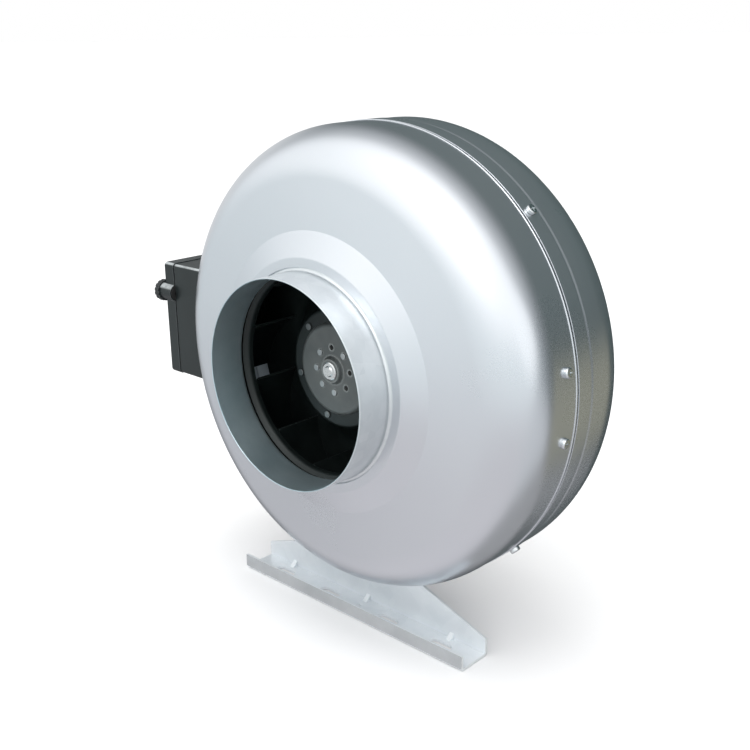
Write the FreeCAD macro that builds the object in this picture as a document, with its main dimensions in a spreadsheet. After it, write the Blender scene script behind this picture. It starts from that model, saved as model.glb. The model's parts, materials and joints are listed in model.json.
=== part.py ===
import FreeCAD, Part
import math
import os
import Sketcher
from FreeCAD import Placement, Rotation, Vector

# Inline duct fan for 150 mm round duct: two pressed steel shells around an
# external-rotor motor with a backward-curved impeller, one folded foot and a
# terminal box.  Millimetres.  Origin: middle of the slot pattern on the
# underside of the foot.  +Z up, +Y along the air flow, +X across.

os.makedirs("parts", exist_ok=True)
doc = FreeCAD.newDocument("InlineDuctFan")
sheet = doc.addObject("Spreadsheet::Sheet", "Dims")

DIMENSIONS = [
    # placing of the fan axis in the part's frame
    ("axis_height", 198.6, "fan axis above the underside of the foot"),
    ("slot_station", 69.65, "slot line behind the front edge of the inlet collar"),
    ("total_length", 213.2, "front edge of inlet collar to rear edge of outlet collar"),
    # collars
    ("collar_radius", 74.5, "outside of the duct collar"),
    ("collar_sheet", 1.0, "collar sheet"),
    ("collar_flange_radius", 86.0, "collar flange inside the shell"),
    ("collar_bend", 2.0, "bend at the root of the collar"),
    # pressed shells
    ("sheet", 1.0, "shell sheet"),
    ("hole_radius", 77.0, "hole in the shell for the collar"),
    ("hole_station", 27.6, "front edge of the shell"),
    ("ring_radius", 101.3, "outside of the raised ring band"),
    ("ring_slope", 0.3374, "rise of the ring band"),
    ("ring_bend", 7.0, "soft bend at the ring band"),
    ("dish_slope", 0.1317, "rise of the dish"),
    ("casing_radius", 169.3, "cylinder of the casing"),
    ("shoulder_radius", 39.0, "shoulder between dish and cylinder"),
    ("bead_radius", 170.7, "rolled bead of the front shell"),
    ("bead_front", 98.6, "front of the bead"),
    ("bead_back", 101.3, "back of the bead"),
    ("spigot_fit_radius", 168.9, "plug end of the front shell"),
    ("spigot_fit_end", 114.5, "end of the plug end"),
    ("belt_radius", 170.0, "swaged lip of the rear shell"),
    ("belt_front", 102.2, "front edge of the rear shell"),
    ("belt_back", 115.0, "end of the swaged lip"),
    ("belt_slope_end", 118.0, "end of the swage"),
    # inlet nozzle
    ("nozzle_sheet", 1.2, "inlet nozzle wall"),
    ("nozzle_throat", 72.0, "throat radius of the inlet nozzle"),
    ("nozzle_end", 37.5, "end of the nozzle lip"),
    # impeller
    ("impeller_radius", 110.0, "outside of the impeller"),
    ("shroud_eye", 74.4, "eye radius of the shroud"),
    ("shroud_front", 35.0, "front edge of the shroud"),
    ("shroud_wall", 1.2, "shroud wall"),
    ("plate_wall", 2.0, "impeller back plate wall"),
    ("blade_count", 11, "blades"),
    ("blade_wall", 1.6, "blade thickness"),
    ("blade_inner", 72.6, "leading edge radius"),
    ("blade_outer", 109.4, "trailing edge radius"),
    ("hub_front", 53.0, "front of the hub ring"),
    ("hub_radius", 43.5, "outside of the hub ring"),
    # rotor and motor
    ("rotor_radius", 34.0, "outside of the rotor bell"),
    ("rotor_wall", 3.0, "rotor bell wall"),
    ("rotor_face", 49.8, "front face of the rotor"),
    ("rotor_end", 94.0, "open end of the rotor"),
    ("rotor_shoulder", 4.0, "rounded shoulder of the rotor"),
    ("shaft_radius", 4.0, "motor shaft"),
    ("shaft_front", 44.7, "front end of the shaft"),
    ("shaft_back", 97.5, "rear end of the shaft"),
    ("shaft_play", 0.03, "running clearance of the shaft in its bearings"),
    ("bearing_radius", 11.0, "outside of the ball bearing"),
    ("bearing_width", 7.0, "width of the ball bearing"),
    ("bearing_front", 58.5, "front bearing station"),
    ("bearing_back", 88.0, "rear bearing station"),
    ("tube_radius", 13.5, "outside of the bearing tube"),
    ("flange_front", 95.5, "front face of the motor flange"),
    ("flange_back", 98.5, "rear face of the motor flange"),
    ("air_gap", 0.4, "gap between stator and rotor"),
    ("stator_radius", 25.0, "outside of the stator core"),
    ("stator_front", 61.0, "front of the stator core"),
    ("stator_back", 87.0, "back of the stator core"),
    # motor bracket
    ("bracket_width", 60.0, "width of the motor bracket"),
    ("bracket_sheet", 2.0, "bracket sheet"),
    # foot
    ("foot_length", 229.6, "length of the foot"),
    ("foot_sheet", 2.0, "foot sheet"),
    ("foot_front", 55.1, "front face of the lip"),
    ("foot_back", 84.2, "rear face of the web"),
    ("foot_lip", 12.0, "height of the lip"),
    ("foot_end_height", 13.9, "height of the ends of the web"),
    ("foot_slope", 0.35, "slope of the web's shoulders"),
    ("slot_radius", 4.5, "half width of the slots"),
    ("slot_length", 20.0, "length of the slots"),
    ("slot_inner", 31.0, "inner slots from the middle"),
    ("slot_outer", 83.0, "outer slots from the middle"),
    # terminal box
    ("box_front", 60.0, "front face of the box"),
    ("box_back", 153.0, "rear face of the box"),
    ("box_low", -45.5, "underside of the box from the axis"),
    ("box_high", 48.0, "top of the box from the axis"),
    ("box_wall", 2.5, "box wall"),
    ("box_joint", 194.0, "parting face of the box from the axis"),
    ("box_floor", 173.5, "floor of the box from the axis"),
    ("lid_face", 207.5, "outer face of the lid from the axis"),
    ("boss_radius", 7.2, "boss of the lid screws"),
    ("boss_face", 212.4, "outer face of the boss"),
    ("boss_height", 23.6, "boss above the axis"),
]
for row, (alias, value, note) in enumerate(DIMENSIONS, start=1):
    sheet.set("A%d" % row, note)
    sheet.set("B%d" % row, str(value))
    sheet.setAlias("B%d" % row, alias)
doc.recompute()


class Size:
    """A number together with the expression over the sheet that gives it."""

    def __init__(self, value, text):
        self.value = float(value)
        self.text = text

    def _pair(self, other):
        return other if isinstance(other, Size) else Size(other, "(%r)" % float(other))

    def __add__(self, other):
        other = self._pair(other)
        return Size(self.value + other.value, "(%s + %s)" % (self.text, other.text))

    def __sub__(self, other):
        other = self._pair(other)
        return Size(self.value - other.value, "(%s - %s)" % (self.text, other.text))

    def __mul__(self, other):
        other = self._pair(other)
        return Size(self.value * other.value, "(%s * %s)" % (self.text, other.text))

    def __truediv__(self, other):
        other = self._pair(other)
        return Size(self.value / other.value, "(%s / %s)" % (self.text, other.text))

    def __neg__(self):
        return Size(-self.value, "(-1 * %s)" % self.text)

    def slant(self):
        """sqrt(1 + x^2): axial thickness of a sheet of slope x per unit of thickness."""
        return Size(math.sqrt(1 + self.value ** 2), "sqrt(1 + %s * %s)" % (self.text, self.text))


def S(alias):
    return Size(float(sheet.get(alias)), "Dims.%s" % alias)


def D(alias):
    return float(sheet.get(alias))


def num(x):
    return x.value if isinstance(x, Size) else float(x)


def bind(obj, prop, size):
    if isinstance(size, Size):
        obj.setExpression(prop, size.text)
    else:
        setattr(obj, prop, float(size))


# Fan coordinates: local Z runs along the fan axis from the front edge of the
# inlet collar, local X is the part's X, local -Y is up.
FAN = Placement(Vector(0, -D("slot_station"), D("axis_height")), Rotation(Vector(1, 0, 0), -90))
nodes = []


def keep(obj, label):
    obj.Label = label
    nodes.append(obj)
    return obj


def plane(body, role):
    for item in body.Origin.OriginFeatures:
        if item.Role == role:
            return item
    raise ValueError(role)


def sketch_on(body, name, role):
    sk = body.newObject("Sketcher::SketchObject", name)
    sk.AttachmentSupport = [(plane(body, role), "")]
    sk.MapMode = "FlatFace"
    return sk


def outline(sk, points):
    """Closed outline of straight lines; every corner is held by two sizes."""
    n = len(points)
    values = [(num(a), num(b)) for a, b in points]
    for i in range(n):
        a, b = values[i], values[(i + 1) % n]
        sk.addGeometry(Part.LineSegment(Vector(a[0], a[1], 0), Vector(b[0], b[1], 0)), False)
    for i in range(n):
        sk.addConstraint(Sketcher.Constraint("Coincident", i, 2, (i + 1) % n, 1))
    for i in range(n):
        for k, kind in ((0, "DistanceX"), (1, "DistanceY")):
            c = sk.addConstraint(Sketcher.Constraint(kind, -1, 1, i, 1, values[i][k]))
            if isinstance(points[i][k], Size):
                sk.setExpression("Constraints[%d]" % c, points[i][k].text)
    return values


def turned(name, points, rounds=(), place=None):
    """Body of revolution about the fan axis; points are (radius, station)."""
    body = doc.addObject("PartDesign::Body", name + "_body")
    sk = sketch_on(body, name + "_profile", "XZ_Plane")
    values = outline(sk, points)
    rev = body.newObject("PartDesign::Revolution", name + "_revolution")
    rev.Profile = sk
    rev.ReferenceAxis = (sk, ["V_Axis"])
    rev.Angle = 360
    doc.recompute()
    last = rev
    for count, (index, radius) in enumerate(rounds):
        r0, z0 = values[index]
        picked = []
        for k, edge in enumerate(last.Shape.Edges, start=1):
            curve = edge.Curve
            if isinstance(curve, Part.Circle) and abs(curve.Radius - r0) < 1e-4 and abs(edge.Vertexes[0].Z - z0) < 1e-4:
                picked.append("Edge%d" % k)
        if not picked:
            raise RuntimeError("no edge to round on %s at %r" % (name, (r0, z0)))
        fil = body.newObject("PartDesign::Fillet", "%s_round_%d" % (name, count + 1))
        fil.Base = (last, picked)
        bind(fil, "Radius", radius)
        doc.recompute()
        last = fil
    body.Placement = place or FAN
    doc.recompute()
    return body


def mirror_points(points):
    """The outlet side is the inlet side seen from the other end."""
    total = S("total_length")
    return [(r, total - z if isinstance(z, Size) else total - z) for r, z in points]


def solid_group(label, shapes, place=None):
    """Several separate identical solids in one node."""
    obj = doc.addObject("Part::Feature", label)
    obj.Shape = Part.makeCompound(shapes)
    obj.Placement = place or Placement()
    return keep(obj, label)


def hidden(name, shape, place=None):
    obj = doc.addObject("Part::Feature", name)
    obj.Shape = shape
    obj.Placement = place or Placement()
    return obj


def block(name, low, high):
    """Part::Box between two corners given in the part's frame."""
    obj = doc.addObject("Part::Box", name)
    for prop, a, b in zip(("Length", "Width", "Height"), low, high):
        if isinstance(a, Size) or isinstance(b, Size):
            a2 = a if isinstance(a, Size) else Size(a, "(%r)" % float(a))
            bind(obj, prop, (b if isinstance(b, Size) else Size(b, "(%r)" % float(b))) - a2)
        else:
            bind(obj, prop, b - a)
    obj.Placement = Placement(Vector(num(low[0]), num(low[1]), num(low[2])), Rotation())
    for axis, a in zip("xyz", low):
        if isinstance(a, Size):
            obj.setExpression("Placement.Base." + axis, a.text)
    return obj


def cut(name, base, tool, label=None):
    obj = doc.addObject("Part::Cut", name)
    obj.Base = base
    obj.Tool = tool
    if label:
        keep(obj, label)
    return obj


def fuse(name, shapes, label=None):
    obj = doc.addObject("Part::MultiFuse", name)
    obj.Shapes = shapes
    if label:
        keep(obj, label)
    return obj


def common(name, shapes, label=None):
    obj = doc.addObject("Part::MultiCommon", name)
    obj.Shapes = shapes
    if label:
        keep(obj, label)
    return obj


def fan_point(radius, degrees, station):
    """Fan coordinates of a point: the angle runs from +X towards up."""
    a = math.radians(degrees)
    return Vector(radius * math.cos(a), -radius * math.sin(a), station)


def rod(radius, start, end):
    return Part.makeCylinder(radius, (end - start).Length, start, end - start)


def radial_screw(degrees, station, seat, head_r, head_h, shank_r, tip):
    """Pan head on radius `seat`, shank inwards to radius `tip`, cross slot in the head."""
    out = fan_point(1, degrees, 0)
    p = fan_point(seat, degrees, station)
    head = Part.makeCylinder(head_r, head_h, p, out)
    top = max(head.Edges, key=lambda e: e.CenterOfMass.dot(out) if isinstance(e.Curve, Part.Circle) else -1e9)
    head = head.makeFillet(head_h * 0.45, [top])
    shank = Part.makeCylinder(shank_r, seat - tip + head_h * 0.3, fan_point(tip, degrees, station), out)
    screw = head.fuse(shank)
    side = out.cross(Vector(0, 0, 1))
    for u, v in ((side, Vector(0, 0, 1)), (Vector(0, 0, 1), side)):
        bar = Part.makeBox(head_r * 1.2, 0.9, 1.2)
        frame = FreeCAD.Matrix(u.x, v.x, out.x, 0, u.y, v.y, out.y, 0, u.z, v.z, out.z, 0, 0, 0, 0, 1)
        bar.translate(Vector(-head_r * 0.6, -0.45, 0))
        if FreeCAD.Vector(u).cross(v).dot(out) < 0:
            frame = FreeCAD.Matrix(u.x, -v.x, out.x, 0, u.y, -v.y, out.y, 0, u.z, -v.z, out.z, 0, 0, 0, 0, 1)
        bar = bar.transformGeometry(frame)
        bar.translate(p + out * (head_h - 1.0))
        screw = screw.cut(bar)
    return screw.removeSplitter()


def axial_screw(base, direction, head_r, head_h, shank_r, length):
    """Pan head standing on `base`, shank the other way."""
    d = Vector(direction).normalize()
    head = Part.makeCylinder(head_r, head_h, base, d)
    top = max(head.Edges, key=lambda e: e.CenterOfMass.dot(d) if isinstance(e.Curve, Part.Circle) else -1e9)
    head = head.makeFillet(head_h * 0.4, [top])
    return head.fuse(Part.makeCylinder(shank_r, length + head_h * 0.3, base - d * length, d)).removeSplitter()


# ---------------------------------------------------------------- casing
t = S("sheet")
t_ring = t * S("ring_slope").slant()
t_dish = t * S("dish_slope").slant()
A = (S("hole_radius"), S("hole_station"))
B_z = S("hole_station") + (S("ring_radius") - S("hole_radius")) * S("ring_slope")
B = (S("ring_radius"), B_z)
C = (S("casing_radius"), B_z + (S("casing_radius") - S("ring_radius")) * S("dish_slope"))
A_in = (S("hole_radius"), S("hole_station") + t_ring)
b_in_r = S("ring_radius") - (t_ring - t_dish) / (S("ring_slope") - S("dish_slope"))
B_in = (b_in_r, S("hole_station") + t_ring + (b_in_r - S("hole_radius")) * S("ring_slope"))
C_in = (S("casing_radius") - t, B_z + t_dish + (S("casing_radius") - t - S("ring_radius")) * S("dish_slope"))

front_points = [
    A, B, C,
    (S("casing_radius"), S("bead_front")),
    (S("bead_radius"), S("bead_front") + 0.7),
    (S("bead_radius"), S("bead_back") - 0.6),
    (S("bead_radius") - 0.7, S("bead_back")),
    (S("spigot_fit_radius"), S("bead_back")),
    (S("spigot_fit_radius"), S("spigot_fit_end")),
    (S("spigot_fit_radius") - t, S("spigot_fit_end")),
    (S("spigot_fit_radius") - t, S("bead_back") + 0.6),
    (S("casing_radius") - t, S("bead_back") - 0.6),
    C_in, B_in, A_in,
]
front_blank = turned(
    "front_shell", front_points,
    rounds=[(2, S("shoulder_radius")), (12, S("shoulder_radius") - t), (1, S("ring_bend")), (13, S("ring_bend") + t)],
)

rear_dish = mirror_points([A, B, C, C_in, B_in, A_in])
rear_points = [
    rear_dish[0], rear_dish[1], rear_dish[2],
    (S("casing_radius"), S("belt_slope_end")),
    (S("belt_radius"), S("belt_back")),
    (S("belt_radius"), S("belt_front")),
    (S("belt_radius") - t, S("belt_front")),
    (S("belt_radius") - t, S("belt_back")),
    (S("casing_radius") - t, S("belt_slope_end")),
    rear_dish[3], rear_dish[4], rear_dish[5],
]
rear_blank = turned(
    "rear_shell", rear_points,
    rounds=[(2, S("shoulder_radius")), (9, S("shoulder_radius") - t), (1, S("ring_bend")), (10, S("ring_bend") + t)],
)

JOINT_ANGLES = (43.9, 133.9, 223.9, 313.9)
JOINT_STATION = 109.6
BRACKET_ANGLES = (8.0, -8.0, 172.0, 188.0)
BRACKET_STATION = 90.0
FOOT_ANGLES = (-101.0, -79.0)
FOOT_STATION = 90.5
SCREW_R = 1.9


def radial_hole(degrees, station, radius, low=155.0, high=180.0):
    return rod(radius, fan_point(low, degrees, station), fan_point(high, degrees, station))


def side_hole(station, height, radius, low=-182.0, high=-150.0):
    """Hole along X through the left side, in fan coordinates."""
    return rod(radius, Vector(low, -height, station), Vector(high, -height, station))


BOX_SCREWS = ((93.0, 36.0), (93.0, -36.0))
LEAD_STATION, LEAD_HEIGHT, LEAD_HOLE = 108.0, 0.0, 4.6
front_holes = [radial_hole(a, JOINT_STATION, 2.0) for a in JOINT_ANGLES]
front_holes += [radial_hole(a, BRACKET_STATION, 2.0) for a in BRACKET_ANGLES]
front_holes += [radial_hole(a, FOOT_STATION, 2.0) for a in FOOT_ANGLES]
front_holes += [side_hole(s, z, 2.0) for s, z in BOX_SCREWS]
front_holes += [side_hole(LEAD_STATION, LEAD_HEIGHT, LEAD_HOLE)]
cut("front_shell_cut", front_blank, hidden("front_shell_holes", Part.makeCompound(front_holes), FAN), "front_shell")
rear_holes = [radial_hole(a, JOINT_STATION, 2.0) for a in JOINT_ANGLES] + [side_hole(LEAD_STATION, LEAD_HEIGHT, LEAD_HOLE)]
cut("rear_shell_cut", rear_blank, hidden("rear_shell_holes", Part.makeCompound(rear_holes), FAN), "rear_shell")

# duct collars: rolled tube with a flange behind the edge of the shell
root_z = S("hole_station") + t_ring - (S("hole_radius") - S("collar_radius")) * S("ring_slope")
ct = S("collar_sheet")
ct_axial = ct * S("ring_slope").slant()
collar_points = [
    (S("collar_radius"), 0.0),
    (S("collar_radius"), root_z),
    (S("collar_flange_radius"), root_z + (S("collar_flange_radius") - S("collar_radius")) * S("ring_slope")),
    (S("collar_flange_radius"), root_z + ct_axial + (S("collar_flange_radius") - S("collar_radius")) * S("ring_slope")),
    (S("collar_radius") - ct, root_z + ct_axial - ct * S("ring_slope")),
    (S("collar_radius") - ct, 0.0),
]
keep(turned("inlet_collar", collar_points, rounds=[(1, S("collar_bend")), (4, S("collar_bend") + ct)]), "inlet_collar")
keep(turned("outlet_collar", mirror_points(collar_points), rounds=[(1, S("collar_bend")), (4, S("collar_bend") + ct)]), "outlet_collar")

# inlet nozzle: ring clamped behind the collar flange, lip reaching into the impeller eye
nt = S("nozzle_sheet")
seat0 = S("hole_station") + t_ring - S("hole_radius") * S("ring_slope")
nozzle_points = [
    (97.0, seat0 + S("ring_slope") * 97.0),
    (88.0, seat0 + S("ring_slope") * 88.0),
    (87.0, seat0 + S("ring_slope") * 88.0 + 1.1),
    (79.5, 31.1),
    (75.2, 30.6),
    (S("nozzle_throat"), 33.6),
    (S("nozzle_throat"), S("nozzle_end")),
    (S("nozzle_throat") + nt, S("nozzle_end")),
    (S("nozzle_throat") + nt, 34.2),
    (75.8, 32.0),
    (79.2, 32.4),
    (86.6, seat0 + S("ring_slope") * 88.0 + 2.4),
    (97.0, seat0 + S("ring_slope") * 97.0 + 1.27),
]
keep(turned("inlet_nozzle", nozzle_points, rounds=[(5, 2.5), (8, 1.2)]), "inlet_nozzle")

# ---------------------------------------------------------------- impeller
R2 = S("impeller_radius")
sw = S("shroud_wall")
shroud_points = [
    (S("shroud_eye"), S("shroud_front")),
    (S("shroud_eye"), 38.6),
    (R2, 50.0),
    (R2, Size(50.0, "50") - sw * 1.05),
    (S("shroud_eye") + sw, Size(38.6, "38.6") - sw * 0.72),
    (S("shroud_eye") + sw, S("shroud_front")),
]
keep(turned("impeller_shroud", shroud_points, rounds=[(1, 4.2), (4, 3.0)]), "impeller_shroud")

pw = S("plate_wall")
plate_points = [
    (S("rotor_radius"), S("hub_front")),
    (S("hub_radius"), S("hub_front")),
    (47.0, 66.0),
    (64.0, 78.6),
    (R2, 81.0),
    (R2, 83.0),
    (63.4, 80.75),
    (45.2, 67.2),
    (S("hub_radius") - pw, S("hub_front") + pw),
    (S("rotor_radius"), S("hub_front") + pw),
]
keep(turned("impeller_back_plate", plate_points, rounds=[(1, 3.0), (8, 1.0), (2, 8.0), (7, 6.0), (3, 12.0), (6, 10.0)]), "impeller_back_plate")

# one blade: a backward-curved strip, trimmed by the shroud and the back plate
r1, r2, bw = D("blade_inner"), D("blade_outer"), D("blade_wall")
blade_space = turned(
    "blade_space",
    [(r1 - 1.6, 38.9), (74.6, 39.6), (78.0, 39.80), (S("blade_outer"), 49.84), (S("blade_outer"), 80.94),
     (S("blade_inner"), 79.02), (r1 - 1.6, 78.93)],
)
doc.recompute()


def blade_edge(offset):
    """Mid arc of the blade as three points, moved sideways by offset."""
    sweep = math.radians(30.0)
    pts = []
    for k in range(7):
        f = k / 6.0
        r = r1 + (r2 - r1) * f
        a = -(sweep * (0.35 * f + 0.65 * f ** 1.25))
        pts.append(Vector(r * math.cos(a), r * math.sin(a), 0))
    out = []
    for k, p in enumerate(pts):
        q0 = pts[max(0, k - 1)]
        q1 = pts[min(len(pts) - 1, k + 1)]
        d = (q1 - q0).normalize()
        out.append(p + Vector(-d.y, d.x, 0) * offset)
    return out


left, right = blade_edge(bw / 2), blade_edge(-bw / 2)
sides = []
for pts in (left, right):
    curve = Part.BSplineCurve()
    curve.interpolate(pts)
    sides.append(curve.toShape())
wire = Part.Wire(Part.__sortEdges__([
    sides[0], Part.makeLine(left[-1], right[-1]), sides[1], Part.makeLine(right[0], left[0]),
]))
strip = Part.Face(wire).extrude(Vector(0, 0, 60))
strip.translate(Vector(0, 0, 30))
space = blade_space.Shape.copy()
space.Placement = Placement()
single = strip.common(space).Solids[0]
blades = []
for k in range(int(D("blade_count"))):
    b = single.copy()
    b.rotate(Vector(0, 0, 0), Vector(0, 0, 1), -(195.0 + k * 360.0 / D("blade_count")))
    blades.append(b)
solid_group("impeller_blades", blades, FAN)

# rotor flange that carries the hub ring, with its rivets
keep(turned("rotor_flange", [
    (S("rotor_radius"), S("hub_front") + pw), (40.2, S("hub_front") + pw),
    (40.2, S("hub_front") + pw + 2.0), (S("rotor_radius"), S("hub_front") + pw + 2.0)]), "rotor_flange")
rivets = []
for k in range(6):
    p = fan_point(37.6, 15 + 60 * k, D("hub_front"))
    rivets.append(axial_screw(p, Vector(0, 0, -1), 2.6, 1.2, 1.4, 4.0))
rivet_holes = hidden("rivet_holes", Part.makeCompound([
    rod(1.4, fan_point(37.6, 15 + 60 * k, 50), fan_point(37.6, 15 + 60 * k, 57.2)) for k in range(6)]), FAN)
for label in ("impeller_back_plate", "rotor_flange"):
    base = [n for n in nodes if n.Label == label][0]
    nodes.remove(base)
    base.Label = label + "_blank"
    cut(label + "_cut", base, rivet_holes, label)
solid_group("impeller_rivets", rivets, FAN)

# ---------------------------------------------------------------- rotor
wall = S("rotor_wall")
bell = turned("rotor_bell", [
    (S("shaft_radius"), S("rotor_face") - 3.3),
    (8.5, S("rotor_face") - 3.3),
    (10.5, S("rotor_face")),
    (S("rotor_radius"), S("rotor_face")),
    (S("rotor_radius"), S("rotor_end")),
    (S("rotor_radius") - wall, S("rotor_end")),
    (S("rotor_radius") - wall, S("rotor_face") + wall),
    (S("shaft_radius"), S("rotor_face") + wall),
], rounds=[(3, S("rotor_shoulder")), (6, 1.5)])
PLUG_R = 16.5
plug_angles = [-176, -131, -86, 49, 139]
hole_angles = plug_angles + [-41, 4, 94]
bell_holes = [rod(1.9, fan_point(PLUG_R, a, 45), fan_point(PLUG_R, a, 56)) for a in hole_angles]
cut("rotor_bell_cut", bell, hidden("rotor_bell_holes", Part.makeCompound(bell_holes), FAN), "rotor_bell")
solid_group("rotor_plugs", [
    axial_screw(fan_point(PLUG_R, a, D("rotor_face")), Vector(0, 0, -1), 2.3, 0.9, 1.9, D("rotor_wall")) for a in plug_angles], FAN)
keep(turned("rotor_cage_ring", [
    (S("stator_radius") + S("air_gap"), 60.0), (S("rotor_radius") - wall, 60.0),
    (S("rotor_radius") - wall, 88.0), (S("stator_radius") + S("air_gap"), 88.0)]), "rotor_cage_ring")
keep(turned("motor_shaft", [
    (0.0, S("shaft_front")), (S("shaft_radius") - 0.8, S("shaft_front")), (S("shaft_radius"), S("shaft_front") + 0.8),
    (S("shaft_radius"), S("shaft_back") - 0.5), (S("shaft_radius") - 0.5, S("shaft_back")), (0.0, S("shaft_back"))]), "motor_shaft")
keep(turned("shaft_collar", [
    (S("shaft_radius"), 45.4), (5.8, 45.4), (6.6, 45.9), (6.6, S("rotor_face") - 3.3), (S("shaft_radius"), S("rotor_face") - 3.3)]), "shaft_collar")

# ---------------------------------------------------------------- stator
br = S("bearing_radius")
tube = turned("motor_flange", [
    (br, S("bearing_front")), (S("tube_radius"), S("bearing_front")),
    (S("tube_radius"), S("flange_front") - 2.0), (17.0, S("flange_front")),
    (35.5, S("flange_front")), (35.5, S("flange_back")), (5.0, S("flange_back")), (5.0, S("bearing_back") + 7.4),
    (8.5, S("bearing_back") + 7.4), (8.5, S("bearing_back") + S("bearing_width")), (br, S("bearing_back") + S("bearing_width")),
    (br, S("bearing_back")), (br - 1.2, S("bearing_back")), (br - 1.2, S("bearing_front") + S("bearing_width")),
    (br, S("bearing_front") + S("bearing_width"))])
MOTOR_SCREW_R, MOTOR_SCREWS = 27.0, (45, 135, 225, 315)
motor_holes = [rod(2.0, fan_point(MOTOR_SCREW_R, a, 90), fan_point(MOTOR_SCREW_R, a, 110)) for a in MOTOR_SCREWS]
cut("motor_flange_cut", tube, hidden("motor_flange_holes", Part.makeCompound(motor_holes), FAN), "motor_flange")
for label, station in (("front_bearing", S("bearing_front")), ("rear_bearing", S("bearing_back"))):
    play = S("shaft_radius") + S("shaft_play")
    groove = station + S("bearing_width")
    keep(turned(label, [
        (play, station), (6.2, station), (6.2, station + 0.5), (9.2, station + 0.5), (9.2, station), (br, station),
        (br, groove), (9.2, groove), (9.2, groove - 0.5), (6.2, groove - 0.5), (6.2, groove), (play, groove)]), label)

core_r, core_f, core_b = D("stator_radius"), D("stator_front"), D("stator_back")
core = Part.makeCylinder(core_r, core_b - core_f, Vector(0, 0, core_f)).cut(
    Part.makeCylinder(D("tube_radius"), 60, Vector(0, 0, 50)))
bars = []
slots = []
for k in range(12):
    s = Part.makeBox(7.0, 3.4, core_b - core_f + 2, Vector(16.6, -1.7, core_f - 1))
    mouth = Part.makeBox(4.0, 1.2, core_b - core_f + 2, Vector(22.5, -0.6, core_f - 1))
    s = s.fuse(mouth)
    s.rotate(Vector(0, 0, 0), Vector(0, 0, 1), 30 * k)
    slots.append(s)
    c = Part.makeBox(6.4, 3.0, core_b - core_f + 4, Vector(16.9, -1.5, core_f - 2))
    c.rotate(Vector(0, 0, 0), Vector(0, 0, 1), 30 * k)
    bars.append(c)
for s in slots:
    core = core.cut(s)
stator = doc.addObject("Part::Feature", "stator_core")
stator.Shape = core.removeSplitter().Solids[0]
stator.Placement = FAN
keep(stator, "stator_core")


def coil_ring(z0, z1):
    ring = Part.makeCylinder(23.4, z1 - z0, Vector(0, 0, z0)).cut(Part.makeCylinder(16.2, z1 - z0 + 2, Vector(0, 0, z0 - 1)))
    return ring.makeFillet(1.4, [e for e in ring.Edges if isinstance(e.Curve, Part.Circle)])


coil = coil_ring(core_f - 5.2, core_f - 0.3).multiFuse(bars + [coil_ring(core_b + 0.3, core_b + 5.2)])
winding = doc.addObject("Part::Feature", "stator_windings")
winding.Shape = coil.removeSplitter().Solids[0]
winding.Placement = FAN
keep(winding, "stator_windings")

# ---------------------------------------------------------------- motor bracket
Rin = D("casing_radius") - D("sheet")
bs = D("bracket_sheet")
z_b = D("flange_back")
half = D("bracket_width") / 2
web = Part.makeBox(2 * Rin, 2 * half, bs, Vector(-Rin, -half, z_b)).common(Part.makeCylinder(Rin, bs, Vector(0, 0, z_b)))
ends = Part.makeCylinder(Rin, z_b - 81.0 + bs, Vector(0, 0, 81.0)).cut(Part.makeCylinder(Rin - bs, 40, Vector(0, 0, 75))).common(
    Part.makeBox(2 * Rin + 2, 2 * half, 40, Vector(-Rin - 1, -half, 78)))
lips = [Part.makeBox(290, bs, 9.0, Vector(-145, y, z_b)) for y in (-half, half - bs)]
strut = web.multiFuse([ends] + lips)
strut = strut.cut(Part.makeCylinder(9.5, 20, Vector(0, 0, 95)))
for a in MOTOR_SCREWS:
    strut = strut.cut(rod(2.1, fan_point(MOTOR_SCREW_R, a, 90), fan_point(MOTOR_SCREW_R, a, 110)))
for a in BRACKET_ANGLES:
    strut = strut.cut(radial_hole(a, BRACKET_STATION, 2.0))
for x in (-100, 100):
    for y in (-14, 14):
        strut = strut.cut(Part.makeCylinder(7.0, 20, Vector(x, y, 95)))
        strut = strut.cut(Part.makeCylinder(7.0, 20, Vector(x * 0.66, y, 95)))
bracket = doc.addObject("Part::Feature", "motor_bracket")
bracket.Shape = strut.removeSplitter().Solids[0]
bracket.Placement = FAN
keep(bracket, "motor_bracket")
solid_group("motor_screws", [
    axial_screw(fan_point(MOTOR_SCREW_R, a, z_b + bs), Vector(0, 0, 1), 3.6, 2.6, 2.0, 4.6) for a in MOTOR_SCREWS], FAN)
solid_group("bracket_screws", [
    radial_screw(a, BRACKET_STATION, D("casing_radius") + 0.0, 3.7, 2.6, SCREW_R, Rin - bs - 3.0) for a in BRACKET_ANGLES], FAN)
solid_group("casing_screws", [
    radial_screw(a, JOINT_STATION, D("belt_radius") + 0.0, 3.7, 2.6, SCREW_R, 164.5) for a in JOINT_ANGLES], FAN)

# ---------------------------------------------------------------- foot
foot = doc.addObject("PartDesign::Body", "foot_body")
half_l = D("foot_length") / 2
ft = D("foot_sheet")
yf, yb = D("foot_front") - D("slot_station"), D("foot_back") - D("slot_station")
zt = 48.0
sk = sketch_on(foot, "foot_section", "YZ_Plane")
F, K, T = S("foot_front") - S("slot_station"), S("foot_back") - S("slot_station"), S("foot_sheet")
outline(sk, [
    (F, 0.0), (K, 0.0), (K, zt), (K - T, zt), (K - T, T), (F + T, T), (F + T, S("foot_lip")), (F, S("foot_lip"))])
pad = foot.newObject("PartDesign::Pad", "foot_pad")
pad.Profile = sk
pad.SideType = "Symmetric"
bind(pad, "Length", S("foot_length"))
doc.recompute()
# the web narrows upwards and is cut to the round of the casing
sk2 = sketch_on(foot, "foot_trim", "XZ_Plane")
Rc = D("casing_radius")
H = D("axis_height")
e_h, sl = D("foot_end_height"), D("foot_slope")


def slant_z(x):
    return e_h + sl * (half_l - abs(x))


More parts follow.
